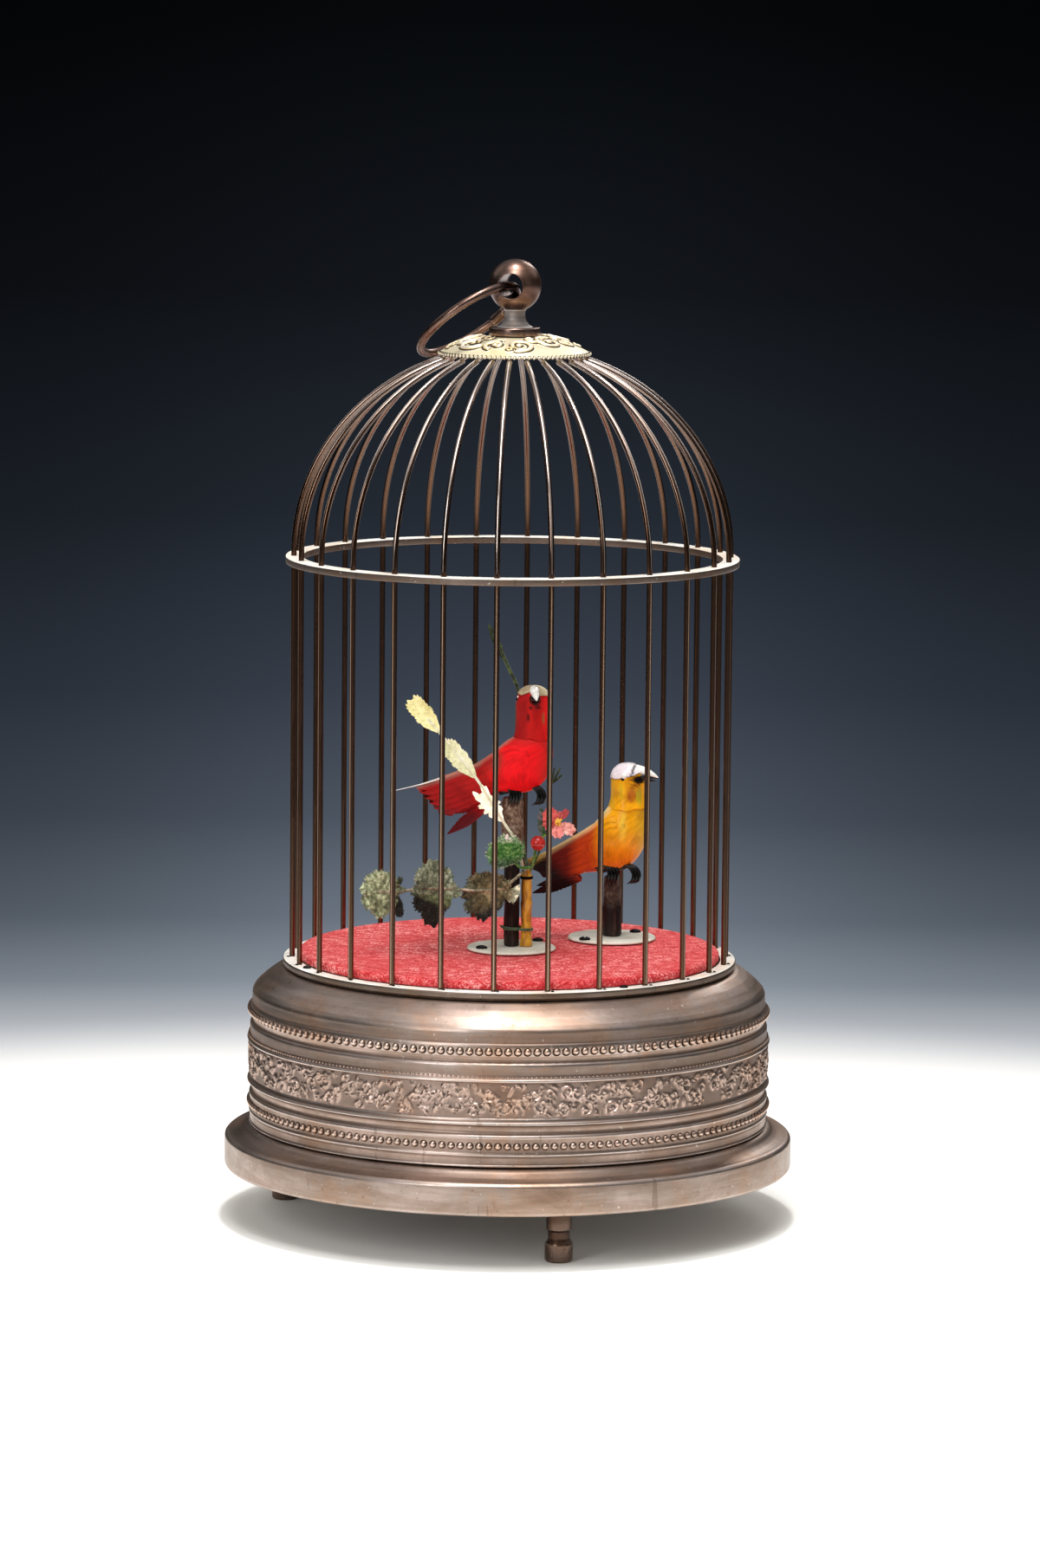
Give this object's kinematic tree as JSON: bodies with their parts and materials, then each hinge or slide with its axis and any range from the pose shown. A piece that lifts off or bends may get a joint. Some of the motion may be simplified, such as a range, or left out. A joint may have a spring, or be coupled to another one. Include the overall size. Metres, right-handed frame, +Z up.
{
  "type": "singing bird automaton",
  "caption": "Singing bird automaton: two birds on posts in a domed wire cage over a round embossed base with a winding movement, bellows and whistle.",
  "frame": {"origin": "The middle of the base on the surface that the feet stand on.", "axes": "+Z up, -Y towards the viewer of the picture, +X to the right."},
  "size_m": [0.1648, 0.1648, 0.2785],
  "materials": {
    "antique_bronze": "antique browned copper plate, rubbed bright on the edges",
    "cap_gilt": "worn cream gilding",
    "tinned_steel": "dull tinned steel",
    "movement_brass": "milled brass",
    "board_wood": "plain",
    "red_felt": "pile felt",
    "plate_ivory": "ivory enamel",
    "post_bark": "dark brown, cloth-wrapped",
    "amber_tube": "amber lacquer",
    "red_feathers": "dyed feathers",
    "yellow_feathers": "dyed feathers",
    "beak_horn": "ivory and black paint",
    "claw_black": "black gloss enamel",
    "leaf_pale": "stiffened cloth",
    "leaf_silver": "flocked cloth",
    "leaf_green": "cloth",
    "bellows_leather": "thin kid leather"
  },
  "bodies": {
    "case": {"foot_front": "antique_bronze", "foot_left": "antique_bronze", "foot_right": "antique_bronze", "plinth_flange": "antique_bronze", "bottom_cover": "tinned_steel", "drum_casing": "antique_bronze", "cage_side": "antique_bronze", "cage_dome": "antique_bronze", "crown_cap": "cap_gilt", "finial": "antique_bronze", "floor_board": "board_wood", "felt_floor": "red_felt", "escutcheon_tall": "plate_ivory", "escutcheon_short": "plate_ivory", "tall_post": "post_bark", "short_post": "post_bark", "stem_tube": "amber_tube", "red_bird_body": "red_feathers", "red_bird_claws": "claw_black", "yellow_bird_body": "yellow_feathers", "yellow_bird_claws": "claw_black", "leaf_spray_upper": "leaf_pale", "leaf_spray_lower": "leaf_silver", "flower_sprig": "leaf_green", "back_twig": "leaf_green", "lower_plate": "movement_brass", "upper_plate": "movement_brass", "bellows_fixed_board": "board_wood", "bellows_leather": "bellows_leather", "whistle_tube": "movement_brass"},
    "bail": {"bail_ring": "antique_bronze"},
    "red_head": {"red_bird_head": "red_feathers"},
    "red_beak": {"red_bird_lower_beak": "beak_horn"},
    "red_tail": {"red_bird_tail": "red_feathers"},
    "yellow_head": {"yellow_bird_head": "yellow_feathers"},
    "yellow_beak": {"yellow_bird_lower_beak": "beak_horn"},
    "yellow_tail": {"yellow_bird_tail": "yellow_feathers"},
    "red_lever": {"red_bird_lever": "movement_brass"},
    "red_rod": {"red_bird_push_rod": "tinned_steel"},
    "yellow_lever": {"yellow_bird_lever": "movement_brass"},
    "yellow_rod": {"yellow_bird_push_rod": "tinned_steel"},
    "barrel": {"spring_barrel": "movement_brass", "barrel_lid": "movement_brass", "mainspring": "tinned_steel"},
    "cams": {"cam_arbor": "tinned_steel", "whistle_cam": "tinned_steel", "yellow_bird_cam": "movement_brass", "red_bird_cam": "tinned_steel"},
    "crank": {"crank_arbor": "tinned_steel", "crank_disc": "movement_brass"},
    "fly": {"governor_fly": "tinned_steel"},
    "winding": {"winding_arbor": "tinned_steel", "ratchet_wheel": "tinned_steel", "winding_key": "movement_brass"},
    "click": {"click": "tinned_steel"},
    "whistle_lever": {"whistle_lever": "tinned_steel"},
    "piston": {"whistle_piston": "board_wood"},
    "feeder": {"bellows_feeder": "board_wood"},
    "connecting_rod": {"connecting_rod": "movement_brass"},
    "stop_lever": {"stop_lever": "tinned_steel"}
  },
  "joints": [
    {"name": "bail_swing", "type": "hinge", "parent": "case", "child": "bail", "pos_m": [0, 0, 0.2709], "axis": [0.2079, 0.9781, 0], "range_deg": [0, 106]},
    {"name": "red_head_turn", "type": "hinge", "parent": "case", "child": "red_head", "pos_m": [0.0063, -0.00463, 0.1419], "axis": [0, 0, 1], "range_deg": [-20, 20]},
    {"name": "red_beak_open", "type": "hinge", "parent": "red_head", "child": "red_beak", "pos_m": [0.00682, -0.00961, 0.15045], "axis": [0.9945, 0.1045, 0], "range_deg": [0, 14]},
    {"name": "red_tail_flick", "type": "hinge", "parent": "case", "child": "red_tail", "pos_m": [-0.0052, -0.00134, 0.1216], "axis": [-0.2756, -0.9613, 0], "range_deg": [0, 10]},
    {"name": "yellow_head_turn", "type": "hinge", "parent": "case", "child": "yellow_head", "pos_m": [0.0342, 0.0168, 0.119], "axis": [0, 0, 1], "range_deg": [-20, 20]},
    {"name": "yellow_beak_open", "type": "hinge", "parent": "yellow_head", "child": "yellow_beak", "pos_m": [0.03905, 0.01559, 0.12585], "axis": [0.2419, 0.9703, 0], "range_deg": [0, 14]},
    {"name": "yellow_tail_flick", "type": "hinge", "parent": "case", "child": "yellow_tail", "pos_m": [0.0204, 0.02075, 0.0957], "axis": [-0.2756, -0.9613, 0], "range_deg": [0, 10]},
    {"name": "red_lever_lift", "type": "hinge", "parent": "case", "child": "red_lever", "pos_m": [-0.0417, -0.02175, 0.0572], "axis": [0.4052, -0.9142, 0], "range_deg": [0, 2.2]},
    {"name": "red_rod_lift", "type": "slide", "parent": "case", "child": "red_rod", "axis": [0, 0, 1], "range_m": [0, 0.00178]},
    {"name": "yellow_lever_lift", "type": "hinge", "parent": "case", "child": "yellow_lever", "pos_m": [-0.0422, -0.00915, 0.0572], "axis": [0.352, -0.936, 0], "range_deg": [0, 1.7]},
    {"name": "yellow_rod_lift", "type": "slide", "parent": "case", "child": "yellow_rod", "axis": [0, 0, 1], "range_m": [0, 0.00229]},
    {"name": "barrel_turn", "type": "hinge", "parent": "case", "child": "barrel", "pos_m": [0, 0, 0.027], "axis": [0, 0, 1], "continuous": true},
    {"name": "cam_turn", "type": "hinge", "parent": "case", "child": "cams", "pos_m": [-0.02436, -0.01406, 0.044], "axis": [0, 0, 1], "continuous": true},
    {"name": "crank_turn", "type": "hinge", "parent": "case", "child": "crank", "pos_m": [-0.03448, 0.00347, 0.031], "axis": [0, 0, 1], "continuous": true},
    {"name": "fly_turn", "type": "hinge", "parent": "case", "child": "fly", "pos_m": [-0.03198, 0.01766, 0.031], "axis": [0, 0, 1], "continuous": true},
    {"name": "winding_turn", "type": "hinge", "parent": "case", "child": "winding", "pos_m": [0, 0, 0.02], "axis": [0, 0, 1], "continuous": true},
    {"name": "click_lift", "type": "hinge", "parent": "case", "child": "click", "pos_m": [0.01194, -0.00805, 0.05], "axis": [0, 0, 1], "range_deg": [-8, 0], "stiffness_Nm_per_rad": 0.0004},
    {"name": "whistle_lever_swing", "type": "hinge", "parent": "case", "child": "whistle_lever", "pos_m": [-0.0208, -0.0304, 0.05], "axis": [0, 0, -1], "range_deg": [0, 4]},
    {"name": "piston_slide", "type": "slide", "parent": "case", "child": "piston", "axis": [-1, 0, 0], "range_m": [0, 0.00112]},
    {"name": "feeder_swing", "type": "hinge", "parent": "case", "child": "feeder", "pos_m": [0.01, 0.0384, 0.058], "axis": [0, 0, 1], "range_deg": [-10, 0], "deforming": ["bellows_leather"]},
    {"name": "connecting_rod_swing", "type": "hinge", "parent": "feeder", "child": "connecting_rod", "pos_m": [-0.0302, 0.02583, 0.0552], "axis": [0, 0, 1], "range_deg": [-8, 8]},
    {"name": "stop_lever_swing", "type": "hinge", "parent": "case", "child": "stop_lever", "pos_m": [-0.0295, 0.0414, 0.015], "axis": [0, 0, 1], "range_deg": [0, 6]}
  ],
  "couplings": [
    {"joint": "red_rod_lift", "follows": "red_lever_lift", "m_per_rad": 0.046269},
    {"joint": "red_beak_open", "follows": "red_lever_lift", "ratio": 6.3545},
    {"joint": "red_tail_flick", "follows": "red_lever_lift", "ratio": 4.5364},
    {"joint": "yellow_rod_lift", "follows": "yellow_lever_lift", "m_per_rad": 0.077136},
    {"joint": "yellow_beak_open", "follows": "yellow_lever_lift", "ratio": 8.2235},
    {"joint": "yellow_tail_flick", "follows": "yellow_lever_lift", "ratio": 5.8706},
    {"joint": "cam_turn", "follows": "barrel_turn", "ratio": -4},
    {"joint": "crank_turn", "follows": "barrel_turn", "ratio": 16},
    {"joint": "fly_turn", "follows": "barrel_turn", "ratio": -48},
    {"joint": "piston_slide", "follows": "whistle_lever_swing", "m_per_rad": 0.016}
  ]
}
